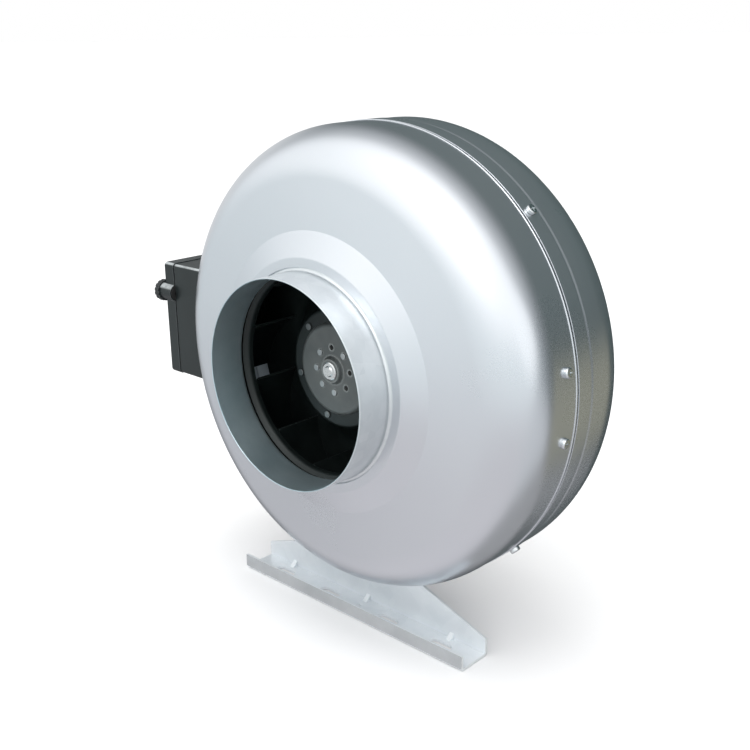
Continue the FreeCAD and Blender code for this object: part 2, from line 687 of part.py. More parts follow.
Rt = Rc + 0.3
x_lo, x_hi = 0.0, 60.0
for _ in range(60):
    x_m = (x_lo + x_hi) / 2
    if math.hypot(x_m, H - slant_z(x_m)) > Rt:
        x_hi = x_m
    else:
        x_lo = x_m
a_m = math.atan2(slant_z(x_m) - H, x_m)
P = [Vector(-half_l - 5, e_h, 0), Vector(-half_l, e_h, 0), Vector(-x_m, slant_z(x_m), 0), Vector(x_m, slant_z(x_m), 0),
     Vector(half_l, e_h, 0), Vector(half_l + 5, e_h, 0), Vector(half_l + 5, zt + 5, 0), Vector(-half_l - 5, zt + 5, 0)]
low = Vector(0, H - Rt, 0)
geo = [Part.LineSegment(P[0], P[1]), Part.LineSegment(P[1], P[2]), Part.Arc(P[2], low, P[3]), Part.LineSegment(P[3], P[4]),
       Part.LineSegment(P[4], P[5]), Part.LineSegment(P[5], P[6]), Part.LineSegment(P[6], P[7]), Part.LineSegment(P[7], P[0])]
for g in geo:
    sk2.addGeometry(g, False)
trim = foot.newObject("PartDesign::Pocket", "foot_trim_pocket")
trim.Profile = sk2
trim.SideType = "Two sides"
trim.Length = 60
trim.Length2 = 60
doc.recompute()
# saddle flange folded back under the casing
inner, outer = Rc + 0.02, Rc + ft
a_s = math.degrees(a_m)
sk3 = sketch_on(foot, "foot_saddle", "XZ_Plane")
c0 = Vector(0, H, 0)


def on(r, deg):
    return Vector(r * math.cos(math.radians(deg)), H + r * math.sin(math.radians(deg)), 0)


lo_a, hi_a = -180 - a_s + 0.6, a_s - 0.6
for g in (Part.Arc(on(inner, lo_a), on(inner, -90), on(inner, hi_a)), Part.LineSegment(on(inner, hi_a), on(outer, hi_a)),
          Part.Arc(on(outer, hi_a), on(outer, -90), on(outer, lo_a)), Part.LineSegment(on(outer, lo_a), on(inner, lo_a))):
    sk3.addGeometry(g, False)
saddle = foot.newObject("PartDesign::Pad", "foot_saddle_pad")
saddle.Profile = sk3
saddle.SideType = "Two sides"
y1 = D("bead_front") - 0.8 - D("slot_station")
# the sketch faces -Y: Length runs towards -Y, Length2 towards +Y
saddle.Length = -(yb - 0.2)
saddle.Length2 = y1
doc.recompute()
saddle_box = foot.Shape.BoundBox
print("foot body y %.2f..%.2f" % (saddle_box.YMin, saddle_box.YMax))
before = foot.Shape.Volume
# slots in the base
sk4 = sketch_on(foot, "foot_slots", "XY_Plane")
sr, slen = D("slot_radius"), D("slot_length")
for x in (-D("slot_outer"), -D("slot_inner"), D("slot_inner"), D("slot_outer")):
    a, b = x - slen / 2 + sr, x + slen / 2 - sr
    for g in (Part.LineSegment(Vector(a, sr, 0), Vector(b, sr, 0)), Part.Arc(Vector(b, sr, 0), Vector(b + sr, 0, 0), Vector(b, -sr, 0)),
              Part.LineSegment(Vector(b, -sr, 0), Vector(a, -sr, 0)), Part.Arc(Vector(a, -sr, 0), Vector(a - sr, 0, 0), Vector(a, sr, 0))):
        sk4.addGeometry(g, False)
sk4.addGeometry(Part.Circle(Vector(0, 0, 0), Vector(0, 0, 1), 2.6), False)
slots4 = foot.newObject("PartDesign::Pocket", "foot_slot_pocket")
slots4.Profile = sk4
slots4.SideType = "Two sides"
slots4.Length = 5
slots4.Length2 = 5
doc.recompute()
if foot.Shape.Volume > before - 100:
    raise RuntimeError("slots did not cut the foot")
foot_holes = [radial_hole(a, FOOT_STATION, 2.0) for a in FOOT_ANGLES]
foot_cut = cut("foot_drilled", foot, hidden("foot_holes", Part.makeCompound(foot_holes), FAN))
# pressed dimples that stiffen the fold
ribs = []
for x in (-84.0, 0.0, 84.0):
    rib = Part.Face(Part.makePolygon([Vector(x, yb - ft + 0.3, ft - 0.3), Vector(x, yb - ft - 5.0, ft - 0.3), Vector(x, yb - ft + 0.3, ft + 5.0),
                                      Vector(x, yb - ft + 0.3, ft - 0.3)]))
    ribs.append(rib.extrude(Vector(4.0, 0, 0)).translated(Vector(-2.0, 0, 0)))
foot_all = fuse("foot_fused", [foot_cut, hidden("foot_ribs", Part.makeCompound(ribs))])
doc.recompute()
bend_edges = []
for k, e in enumerate(foot_all.Shape.Edges, start=1):
    if isinstance(e.Curve, Part.Line) and e.Length > 200:
        c = e.CenterOfMass
        if abs(c.z) < 1e-6 and (abs(c.y - yf) < 1e-6 or abs(c.y - yb) < 1e-6):
            bend_edges.append((k, 3.0, 3.0))
        elif abs(c.z - ft) < 1e-6 and abs(c.y - yf - ft) < 1e-6:
            bend_edges.append((k, 1.0, 1.0))
foot_round = doc.addObject("Part::Fillet", "foot_bends")
foot_round.Base = foot_all
foot_round.Edges = bend_edges
keep(foot_round, "foot_bracket")
solid_group("foot_screws", [
    radial_screw(a, FOOT_STATION, Rc + ft, 3.7, 2.6, SCREW_R, 164.0) for a in FOOT_ANGLES], FAN)

# ---------------------------------------------------------------- terminal box
AH, SS = S("axis_height"), S("slot_station")
X = {k: -S(k) for k in ("box_joint", "box_floor", "lid_face", "boss_face")}
bw_ = S("box_wall")
y_lo, y_hi = S("box_front") - SS, S("box_back") - SS
z_lo, z_hi = AH + S("box_low"), AH + S("box_high")
envelope = turned("casing_envelope", [
    (0.0, 20.0), (S("hole_radius"), S("hole_station")), B, C,
    (S("casing_radius"), S("bead_front") - 0.6), (S("bead_radius") + 0.1, S("bead_front") - 0.2),
    (S("bead_radius") + 0.1, S("bead_back") + 0.2), (S("belt_radius"), S("bead_back") + 0.8),
    (S("belt_radius"), S("belt_back")), (S("casing_radius"), S("belt_slope_end")),
    rear_dish[2], rear_dish[1], rear_dish[0], (0.0, 190.0)],
    rounds=[(3, S("shoulder_radius")), (10, S("shoulder_radius"))])


def vertical_edges(obj, lengthwise, radius):
    """Round the box edges that run along X."""
    doc.recompute()
    picked = []
    for k, e in enumerate(obj.Shape.Edges, start=1):
        if isinstance(e.Curve, Part.Line) and abs(abs(e.tangentAt(e.FirstParameter).x) - 1) < 1e-6:
            picked.append((k, radius, radius))
    f = doc.addObject("Part::Fillet", obj.Name + "_rounded")
    f.Base = obj
    f.Edges = picked
    doc.recompute()
    return f


outer_box = vertical_edges(block("box_outer", (X["box_joint"], y_lo, z_lo), (-150.0, y_hi, z_hi)), True, 3.0)
cavity = block("box_cavity", (X["box_joint"] - 1.0, y_lo + bw_, z_lo + bw_), (X["box_floor"], y_hi - bw_, z_hi - bw_))
skirt = block("box_skirt", (X["box_floor"] + 2.7, y_lo + bw_, z_lo + bw_), (-140.0, y_hi - bw_, z_hi - bw_))
BOSSES = ((D("box_front") + 2.0, D("boss_height")), (D("box_back") - 2.0, -D("boss_height")))
ROT_X = Rotation(Vector(0, 1, 0), -90)  # local Z to -X


def side_rod(station, height, radius, x0, x1):
    """Cylinder along X in the part's frame."""
    y, z = station - D("slot_station"), height + D("axis_height")
    return rod(radius, Vector(x0, y, z), Vector(x1, y, z))


XJ, XF, XL, XB = -D("box_joint"), -D("box_floor"), -D("lid_face"), -D("boss_face")
body_bosses = hidden("box_bosses", Part.makeCompound([side_rod(s, z, D("boss_radius") - 0.9, XJ, XJ + 14.0) for s, z in BOSSES]))
floor_tools = [side_rod(s, z, 2.0, XF - 2, -150) for s, z in BOX_SCREWS]
floor_tools += [side_rod(LEAD_STATION, LEAD_HEIGHT, LEAD_HOLE, XF - 5, -160)]
floor_tools += [side_rod(s, z, 2.4, XJ - 1, XJ + 11.5) for s, z in BOSSES]
GLAND_X, GLAND_Z = -184.0, 12.0
floor_tools += [rod(8.1, Vector(GLAND_X, num(y_hi) - 6, GLAND_Z + D("axis_height")), Vector(GLAND_X, num(y_hi) + 3, GLAND_Z + D("axis_height")))]
tools = []
for k, shape in enumerate(floor_tools):
    tools.append(hidden("box_tool_%d" % k, shape))
shell_a = cut("box_a", outer_box, cavity)
shell_b = cut("box_b", shell_a, skirt)
shell_c = fuse("box_c", [shell_b, body_bosses])
shell_d = cut("box_d", shell_c, envelope)
box_tools = fuse("box_tools", tools)
cut("box_e", shell_d, box_tools, "terminal_box_body")

# gasket on the parting face
g_out = vertical_edges(block("gasket_outer", (X["box_joint"] - 1.0, y_lo + 0.4, z_lo + 0.4), (X["box_joint"], y_hi - 0.4, z_hi - 0.4)), True, 2.6)
g_in = block("gasket_inner", (X["box_joint"] - 3.0, y_lo + bw_, z_lo + bw_), (X["box_joint"] + 3.0, y_hi - bw_, z_hi - bw_))
gk = cut("gasket_a", g_out, g_in)
g_pad = hidden("gasket_pads", Part.makeCompound([side_rod(s, z, D("boss_radius") - 1.0, XJ - 1.0, XJ) for s, z in BOSSES]))
g_tool = hidden("gasket_tool", Part.makeCompound([side_rod(s, z, 2.6, XJ - 4, XJ + 4) for s, z in BOSSES]))
cut("gasket_b", fuse("gasket_c", [gk, g_pad]), g_tool, "box_gasket")

# lid with its two round screw bosses
l_out = vertical_edges(block("lid_outer", (X["lid_face"], y_lo - 0.5, z_lo - 0.5), (X["box_joint"] - 1.0, y_hi + 0.5, z_hi + 0.5)), True, 3.4)
face_edges = []
for k, e in enumerate(l_out.Shape.Edges, start=1):
    if all(abs(v.X - XL) < 1e-6 for v in e.Vertexes):
        face_edges.append((k, 2.0, 2.0))
l_face = doc.addObject("Part::Fillet", "lid_face_round")
l_face.Base = l_out
l_face.Edges = face_edges
lid_boss = hidden("lid_bosses", Part.makeCompound([side_rod(s, z, D("boss_radius"), XB, XJ - 1.0) for s, z in BOSSES]))
l_fused = fuse("lid_fused", [l_face, lid_boss])
l_cav = block("lid_cavity", (X["lid_face"] + 2.5, y_lo + bw_, z_lo + bw_), (X["box_joint"] + 3.0, y_hi - bw_, z_hi - bw_))
l_hollow = cut("lid_hollow", l_fused, l_cav)
l_tool = hidden("lid_tool", Part.makeCompound([side_rod(s, z, 2.5, XB - 2, XJ + 2) for s, z in BOSSES]))
cut("lid_drilled", l_hollow, l_tool, "terminal_box_lid")
lid_screws = []
for s, z in BOSSES:
    base = Vector(XB, s - D("slot_station"), z + D("axis_height"))
    scr = axial_screw(base, Vector(-1, 0, 0), 5.6, 2.6, 2.35, abs(XB - XJ) + 11.0)
    slot = Part.makeBox(1.3, 14, 1.6)
    slot.translate(Vector(-0.65, -7, -0.8))
    slot.rotate(Vector(0, 0, 0), Vector(1, 0, 0), 35)
    slot.translate(base + Vector(-2.6, 0, 0))
    lid_screws.append(scr.cut(slot))
solid_group("lid_screws", lid_screws)

solid_group("box_screws", [
    axial_screw(Vector(XF, s - D("slot_station"), z + D("axis_height")), Vector(-1, 0, 0), 3.6, 2.4, 1.9, 12.0) for s, z in BOX_SCREWS])

# ---------------------------------------------------------------- inside the box
tb = doc.addObject("Part::Box", "terminal_block_blank")
tb.Length, tb.Width, tb.Height = 13.5, 18, 50
tb.Placement = Placement(Vector(XF - 13.5, 66 - D("slot_station"), D("axis_height") - 34), Rotation())
tb_tools, t_screws = [], []
for k in range(5):
    zc = -29.0 + 10.0 * k
    for yc in (70.5, 79.5):
        tb_tools.append(side_rod(yc, zc, 2.6, XF - 15, XF - 6))
        t_screws.append(side_rod(yc, zc, 2.4, XF - 12.2, XF - 6).cut(
            Part.makeBox(1.0, 6, 0.8, Vector(XF - 12.7, yc - D("slot_station") - 3, zc + D("axis_height") - 0.4))))
cut("terminal_block_cut", tb, hidden("terminal_block_tool", Part.makeCompound(tb_tools)), "terminal_block")
solid_group("terminal_screws", t_screws)

CAP_Y, CAP_X = 131.5, XF - 13.5
cap = doc.addObject("Part::Cylinder", "capacitor_can")
cap.Radius, cap.Height = 12.0, 64.0
cap.Placement = Placement(Vector(CAP_X, CAP_Y - D("slot_station"), D("axis_height") - 36), Rotation())
doc.recompute()
cap_f = doc.addObject("Part::Fillet", "capacitor_round")
cap_f.Base = cap
cap_f.Edges = [(k, 1.5, 1.5) for k, e in enumerate(cap.Shape.Edges, start=1) if isinstance(e.Curve, Part.Circle)]
keep(cap_f, "run_capacitor")
clip = Part.makeCylinder(13.0, 10.0).cut(Part.makeCylinder(12.0, 12.0, Vector(0, 0, -1)))
clip.translate(Vector(CAP_X, CAP_Y - D("slot_station"), D("axis_height") - 9))
clip = clip.fuse(Part.makeBox(1.2, 6.0, 10.0, Vector(XF - 1.2, CAP_Y - D("slot_station") - 3.0, D("axis_height") - 9)))
clip_obj = doc.addObject("Part::Feature", "capacitor_clip")
clip_obj.Shape = clip.cut(Part.makeCylinder(12.0, 12.0, Vector(CAP_X, CAP_Y - D("slot_station"), D("axis_height") - 10))).removeSplitter().Solids[0]
keep(clip_obj, "capacitor_clip")
es = doc.addObject("Part::Feature", "earth_screw")
es.Shape = axial_screw(Vector(XF, 76 - D("slot_station"), D("axis_height") + 34), Vector(-1, 0, 0), 3.8, 3.0, 1.9, 0.0)
keep(es, "earth_screw")

# rubber grommet where the motor lead passes from the casing into the box
GROM = Placement(Vector(0, LEAD_STATION - D("slot_station"), LEAD_HEIGHT + D("axis_height")), Rotation(Vector(0, 1, 0), -90))
keep(turned("lead_grommet", [
    (3.0, 166.4), (7.2, 166.4), (7.2, 167.2), (LEAD_HOLE, 167.6), (LEAD_HOLE, S("box_floor")), (8.2, S("box_floor")),
    (8.2, S("box_floor") + 1.6), (6.6, S("box_floor") + 2.4), (3.0, S("box_floor") + 2.4)], place=GROM), "lead_grommet")
# motor lead: from the hole in the middle of the bracket, along its rear face, into the box
zl = z_b + bs + 3.05
x_a, x_b = -118.0, -150.0
route = [Vector(-8.0, 0, zl), Vector(x_a, 0, zl), Vector(x_b, 0, LEAD_STATION), Vector(-184.0, 0, LEAD_STATION)]


def rounded_wire(points, radius):
    edges, last = [], points[0]
    for k in range(1, len(points) - 1):
        u = (points[k - 1] - points[k]).normalize()
        v = (points[k + 1] - points[k]).normalize()
        half_turn = (math.pi - u.getAngle(v)) / 2
        cutoff = radius * math.tan(half_turn)
        p, q = points[k] + u * cutoff, points[k] + v * cutoff
        centre = points[k] + (u + v).normalize() * (radius / math.cos(half_turn))
        mid = centre + (points[k] - centre).normalize() * radius
        edges += [Part.LineSegment(last, p).toShape(), Part.Arc(p, mid, q).toShape()]
        last = q
    edges.append(Part.LineSegment(last, points[-1]).toShape())
    return Part.Wire(edges)


lead_wire = rounded_wire(route, 60.0)
ring = Part.Wire([Part.makeCircle(3.0, route[0], Vector(1, 0, 0))])
lead_shape = lead_wire.makePipeShell([ring], True, True)
lead = doc.addObject("Part::Feature", "motor_lead")
lead.Shape = lead_shape if lead_shape.ShapeType == "Solid" else lead_shape.Solids[0]
lead.Placement = FAN
keep(lead, "motor_lead")
print("motor lead: volume / (section x length) = %.4f, bend radius 60" % (lead.Shape.Volume / (math.pi * 9.0 * lead_wire.Length)))

# ---------------------------------------------------------------- cable gland
GL = Placement(Vector(GLAND_X, D("box_back") - D("slot_station"), GLAND_Z + D("axis_height")), Rotation(Vector(1, 0, 0), -90))
barrel = turned("gland_barrel", [(5.6, -8.0), (8.0, -8.0), (8.0, 13.0), (5.6, 13.0)], place=GL)
hexa = doc.addObject("Part::Prism", "gland_hexagon")
hexa.Polygon, hexa.Circumradius, hexa.Height = 6, 11.0, 5.6
hexa.Placement = GL
hex_hole = doc.addObject("Part::Cylinder", "gland_hex_hole")
hex_hole.Radius, hex_hole.Height = 7.0, 20
hex_hole.Placement = GL.multiply(Placement(Vector(0, 0, -5), Rotation()))
hex_ring = cut("gland_hex_ring", hexa, hex_hole)
fuse("gland_fused", [barrel, hex_ring], "gland_body")
ln = doc.addObject("Part::Prism", "gland_locknut_blank")
ln.Polygon, ln.Circumradius, ln.Height = 6, 10.4, 3.2
ln.Placement = GL.multiply(Placement(Vector(0, 0, -2.5 - 3.2), Rotation()))
ln_hole = doc.addObject("Part::Cylinder", "gland_locknut_hole")
ln_hole.Radius, ln_hole.Height = 8.0, 12
ln_hole.Placement = GL.multiply(Placement(Vector(0, 0, -10), Rotation()))
cut("gland_locknut_cut", ln, ln_hole, "gland_locknut")
keep(turned("gland_nut", [
    (8.0, 5.8), (10.4, 5.8), (10.4, 15.0), (7.8, 20.0), (5.3, 20.0), (5.3, 17.0), (6.6, 15.4), (8.0, 13.4)],
    rounds=[(2, 2.0), (3, 1.0)], place=GL), "gland_nut")
keep(turned("gland_seal", [(4.0, 5.0), (5.5, 5.0), (5.5, 15.3), (4.0, 15.3)], place=GL), "gland_seal")

# ---------------------------------------------------------------- check and write
doc.recompute()
for obj in doc.Objects:
    state = list(obj.State)
    if "Invalid" in state or "Error" in state:
        raise RuntimeError("%s (%s): %s" % (obj.Name, obj.Label, state))
labels = [n.Label for n in nodes]
if len(labels) != len(set(labels)):
    raise RuntimeError("two sub-parts share a label")
for obj in nodes:
    shape = obj.Shape
    if shape.isNull() or not shape.isValid() or not shape.Solids:
        raise RuntimeError("%s has no valid solid" % obj.Label)
for obj in nodes:
    obj.Shape.exportStep("parts/%s.step" % obj.Label)
    print("%-22s solids %2d  volume %9.1f  box %s" % (
        obj.Label, len(obj.Shape.Solids), obj.Shape.Volume,
        " ".join("%.1f" % v for v in (obj.Shape.BoundBox.XMin, obj.Shape.BoundBox.XMax, obj.Shape.BoundBox.YMin,
                                      obj.Shape.BoundBox.YMax, obj.Shape.BoundBox.ZMin, obj.Shape.BoundBox.ZMax))))
print(len(nodes), "nodes")
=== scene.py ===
import bpy
import bmesh
import json
import math
from mathutils import Matrix, Vector


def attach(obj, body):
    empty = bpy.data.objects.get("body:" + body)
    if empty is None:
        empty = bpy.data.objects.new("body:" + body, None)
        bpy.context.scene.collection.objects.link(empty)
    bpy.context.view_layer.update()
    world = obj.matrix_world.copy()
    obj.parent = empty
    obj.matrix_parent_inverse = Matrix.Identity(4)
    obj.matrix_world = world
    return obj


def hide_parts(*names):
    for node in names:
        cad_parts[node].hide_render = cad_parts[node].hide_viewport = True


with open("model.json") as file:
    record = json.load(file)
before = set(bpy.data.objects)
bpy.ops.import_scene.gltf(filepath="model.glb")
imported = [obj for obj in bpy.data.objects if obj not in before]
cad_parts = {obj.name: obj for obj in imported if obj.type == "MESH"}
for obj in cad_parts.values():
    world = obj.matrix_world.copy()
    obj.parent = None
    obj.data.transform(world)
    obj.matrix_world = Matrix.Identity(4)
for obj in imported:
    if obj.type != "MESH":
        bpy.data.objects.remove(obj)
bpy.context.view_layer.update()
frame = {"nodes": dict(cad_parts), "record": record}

D = bpy.data
scene = bpy.context.scene

# ------------------------------------------------------------------ frame of the fan
AXIS = 0.1986          # height of the fan axis
FRONT = -0.06965       # front edge of the inlet collar


def fan(r, deg, s):
    """Point at radius r and station s (mm), angle from +X towards up."""
    a = math.radians(deg)
    return Vector((r * math.cos(a) / 1000.0, FRONT + s / 1000.0, AXIS + r * math.sin(a) / 1000.0))


# ------------------------------------------------------------------ camera
az, el, roll = math.radians(43.45), math.radians(17.94), math.radians(-0.78)
back = Vector((math.sin(az) * math.cos(el), -math.cos(az) * math.cos(el), math.sin(el)))
right = Vector((math.cos(az), math.sin(az), 0.0))
up = back.cross(right)
right2 = right * math.cos(roll) + up * math.sin(roll)
up2 = up * math.cos(roll) - right * math.sin(roll)
cam_data = D.cameras.new("camera")
cam_data.sensor_width = 36.0
cam_data.lens = 51.37
cam_data.clip_start = 0.05
cam_data.clip_end = 50.0
cam = D.objects.new("camera", cam_data)
scene.collection.objects.link(cam)
rot = Matrix((right2, up2, back)).transposed().to_4x4()
cam.matrix_world = Matrix.Translation(Vector((0.5175, -0.52305, 0.4281))) @ rot
scene.camera = cam
scene.view_settings.view_transform = "Standard"
scene.view_settings.look = "None"
scene.view_settings.exposure = 0.0


# ------------------------------------------------------------------ node helpers
class Graph:
    def __init__(self, name, edge=0.0):
        self.edge = edge
        self.mat = D.materials.new(name)
        self.mat.use_nodes = True
        self.nt = self.mat.node_tree
        self.nt.nodes.clear()
        self.out = self.nt.nodes.new("ShaderNodeOutputMaterial")
        self.bsdf = self.nt.nodes.new("ShaderNodeBsdfPrincipled")
        self.nt.links.new(self.bsdf.outputs[0], self.out.inputs[0])
        tc = self.nt.nodes.new("ShaderNodeTexCoord")
        self.obj = tc.outputs["Object"]

    def set(self, **values):
        for key, value in values.items():
            self.bsdf.inputs[key.replace("_", " ")].default_value = value
        return self

    def link(self, out, socket):
        self.nt.links.new(out, self.bsdf.inputs[socket])

    def node(self, kind, **props):
        n = self.nt.nodes.new(kind)
        for k, v in props.items():
            setattr(n, k, v)
        return n

    def scaled(self, scale, vec=None):
        m = self.node("ShaderNodeMapping")
        m.inputs["Scale"].default_value = scale
        self.nt.links.new(vec or self.obj, m.inputs["Vector"])
        return m.outputs[0]

    def noise(self, scale, detail=3.0, rough=0.5, vec=None, distortion=0.0):
        n = self.node("ShaderNodeTexNoise")
        n.inputs["Scale"].default_value = scale
        n.inputs["Detail"].default_value = detail
        n.inputs["Roughness"].default_value = rough
        n.inputs["Distortion"].default_value = distortion
        self.nt.links.new(vec or self.obj, n.inputs["Vector"])
        return n.outputs["Fac"]

    def voronoi(self, scale, feature="F1", out="Distance", vec=None):
        n = self.node("ShaderNodeTexVoronoi", feature=feature)
        n.inputs["Scale"].default_value = scale
        self.nt.links.new(vec or self.obj, n.inputs["Vector"])
        return n.outputs[out]

    def ramp(self, fac, stops):
        n = self.node("ShaderNodeValToRGB")
        els = n.color_ramp.elements
        while len(els) < len(stops):
            els.new(0.5)
        for e, (p, c) in zip(els, stops):
            e.position = p
            e.color = c if len(c) == 4 else (c[0], c[1], c[2], 1.0)
        self.nt.links.new(fac, n.inputs[0])
        return n.outputs[0]

    def remap(self, fac, a, b, c, d):
        n = self.node("ShaderNodeMapRange")
        for k, v in zip(("From Min", "From Max", "To Min", "To Max"), (a, b, c, d)):
            n.inputs[k].default_value = v
        self.nt.links.new(fac, n.inputs["Value"])
        return n.outputs[0]

    def math(self, op, a, b):
        n = self.node("ShaderNodeMath", operation=op)
        for k, v in ((0, a), (1, b)):
            if isinstance(v, (int, float)):
                n.inputs[k].default_value = v
            else:
                self.nt.links.new(v, n.inputs[k])
        return n.outputs[0]

    def mix(self, fac, a, b, blend="MIX"):
        n = self.node("ShaderNodeMix", data_type="RGBA", blend_type=blend)
        for k, v in ((0, fac), (6, a), (7, b)):
            if hasattr(v, "links") or isinstance(v, bpy.types.NodeSocket):
                self.nt.links.new(v, n.inputs[k])
            elif k == 0:
                n.inputs[k].default_value = v
            else:
                n.inputs[k].default_value = v if len(v) == 4 else (v[0], v[1], v[2], 1.0)
        return n.outputs[2]

    def bump(self, height, strength, distance, normal=None):
        n = self.node("ShaderNodeBump")
        n.inputs["Strength"].default_value = strength
        n.inputs["Distance"].default_value = distance
        self.nt.links.new(height, n.inputs["Height"])
        if normal is None and self.edge:
            e = self.node("ShaderNodeBevel", samples=4)
            e.inputs["Radius"].default_value = self.edge
            normal = e.outputs[0]
        if normal is not None:
            self.nt.links.new(normal, n.inputs["Normal"])
        self.link(n.outputs[0], "Normal")
        return n.outputs[0]

    def edges(self, radius=0.0006):
        """1 along outer edges of the body, 0 on its flats."""
        e = self.node("ShaderNodeBevel", samples=4)
        e.inputs["Radius"].default_value = radius
        g = self.node("ShaderNodeNewGeometry")
        d = self.node("ShaderNodeVectorMath", operation="DOT_PRODUCT")
        self.nt.links.new(e.outputs[0], d.inputs[0])
        self.nt.links.new(g.outputs["Normal"], d.inputs[1])
        return self.remap(d.outputs["Value"], 0.985, 0.86, 0.0, 1.0)


def metal(name, dark, light, rough, rough_spread=0.08, grain=900.0, bump=0.0, metallic=1.0):
    g = Graph(name)
    g.set(Metallic=metallic)
    big = g.noise(14.0, 3.0, 0.55)
    fine = g.noise(grain, 2.0, 0.5)
    colour = g.ramp(big, [(0.3, dark), (0.7, light)])
    g.link(colour, "Base Color")
    g.link(g.remap(g.math("ADD", g.math("MULTIPLY", big, 0.6), g.math("MULTIPLY", fine, 0.4)), 0.3, 0.7,
                   rough - rough_spread, rough + rough_spread), "Roughness")
    if bump:
        g.bump(fine, bump, 0.0002)
    return g.mat


# silver powder coat with fine metal flake
def silver_paint():
    g = Graph("silver_paint_finish")
    g.set(Metallic=0.93, Coat_Weight=0.10, Coat_Roughness=0.30, Specular_IOR_Level=0.5)
    cloud = g.noise(7.0, 4.0, 0.5)
    flake = g.voronoi(2600.0, out="Color")
    sep = g.node("ShaderNodeSeparateColor")
    g.nt.links.new(flake, sep.inputs[0])
    tint = g.ramp(cloud, [(0.30, (0.640, 0.668, 0.706)), (0.72, (0.672, 0.696, 0.728))])
    g.link(g.mix(0.015, tint, flake, "OVERLAY"), "Base Color")
    g.link(g.remap(g.math("ADD", g.math("MULTIPLY", cloud, 0.9), g.math("MULTIPLY", sep.outputs[0], 0.1)), 0.2, 0.8, 0.255, 0.315), "Roughness")
    peel = g.noise(260.0, 2.0, 0.5)
    g.bump(g.math("ADD", g.math("MULTIPLY", peel, 0.8), g.math("MULTIPLY", sep.outputs[1], 0.02)), 0.012, 0.0002)
    return g.mat


# zinc coat with soft, low-contrast crystal spangle
def galvanised(name="galvanised_finish", dark=(0.62, 0.655, 0.675), light=(0.72, 0.75, 0.765), rough=0.36, metallic=0.85, grain=150.0, duct=False, lip=False):
    g = Graph(name, 0.0005)
    g.set(Metallic=metallic)
    warp = g.noise(60.0, 3.0, 0.5)
    cells = g.voronoi(grain, out="Color")
    sep = g.node("ShaderNodeSeparateColor")
    g.nt.links.new(cells, sep.inputs[0])
    blend = g.math("ADD", g.math("MULTIPLY", sep.outputs[0], 0.30), g.math("MULTIPLY", warp, 0.70))
    colour = g.ramp(blend, [(0.2, dark), (0.8, light)])
    if duct:
        xyz = g.node("ShaderNodeSeparateXYZ")
        g.nt.links.new(g.obj, xyz.inputs[0])
        h = g.math("SUBTRACT", xyz.outputs[2], AXIS)
        r = g.math("SQRT", g.math("ADD", g.math("MULTIPLY", xyz.outputs[0], xyz.outputs[0]), g.math("MULTIPLY", h, h)), 0.0)
        film = g.ramp(g.noise(26.0, 4.0, 0.6), [(0.3, (0.42, 0.54, 0.585)), (0.7, (0.54, 0.65, 0.69))])
        colour = g.mix(g.remap(r, 0.0739, 0.0742, 1.0, 0.0), colour, film)
    if lip:
        # painted shade: the front face of the foot's lip (world y below about -0.0143 m) gets a darker colour,
        # standing in for the shade on that face
        where = g.node("ShaderNodeNewGeometry")
        pos = g.node("ShaderNodeSeparateXYZ")
        g.nt.links.new(where.outputs["Position"], pos.inputs[0])
        lip_painted_shade = g.ramp(g.noise(34.0, 4.0, 0.6), [(0.3, (0.40, 0.42, 0.435)), (0.7, (0.50, 0.52, 0.535))])
        colour = g.mix(g.remap(pos.outputs[1], -0.01445, -0.0143, 1.0, 0.0), colour, lip_painted_shade)
    g.link(colour, "Base Color")
    streak = g.noise(40.0, 3.0, 0.6, vec=g.scaled((1.0, 14.0, 1.0)))
    g.link(g.remap(g.math("ADD", g.math("MULTIPLY", sep.outputs[1], 0.25), g.math("MULTIPLY", streak, 0.75)), 0.2, 0.8, rough - 0.05, rough + 0.08), "Roughness")
    g.bump(g.math("ADD", g.math("MULTIPLY", sep.outputs[2], 0.2), g.noise(700.0, 2.0, 0.5)), 0.05, 0.0003)
    return g.mat


def black_coat():
    g = Graph("black_coat_finish", 0.0004)
    g.set(Metallic=0.35)
    dust = g.noise(28.0, 5.0, 0.62)
    fine = g.noise(900.0, 2.0, 0.5)
    base = g.ramp(dust, [(0.35, (0.0055, 0.0085, 0.0084)), (0.75, (0.012, 0.018, 0.0175))])
    # painted highlight: a lighter colour is mixed in along the edges
    g.link(g.mix(g.edges(0.0005), base, (0.085, 0.105, 0.102)), "Base Color")
    g.link(g.remap(dust, 0.3, 0.75, 0.34, 0.52), "Roughness")
    g.bump(fine, 0.12, 0.0003)
    return g.mat


def rotor_grey():
    g = Graph("rotor_grey_finish", 0.0006)
    g.set(Metallic=0.55)
    cast = g.noise(480.0, 4.0, 0.6)
    cloud = g.noise(35.0, 3.0, 0.5)
    base = g.ramp(cloud, [(0.3, (0.085, 0.095, 0.095)), (0.75, (0.150, 0.162, 0.160))])
    # painted highlight: a lighter colour along the rotor's edges, within about 3 mm, gives it a lighter rim
    g.link(g.mix(g.edges(0.0030), base, (0.34, 0.36, 0.355)), "Base Color")
    g.link(g.remap(cloud, 0.3, 0.7, 0.38, 0.55), "Roughness")
    g.bump(cast, 0.35, 0.0004)
    return g.mat


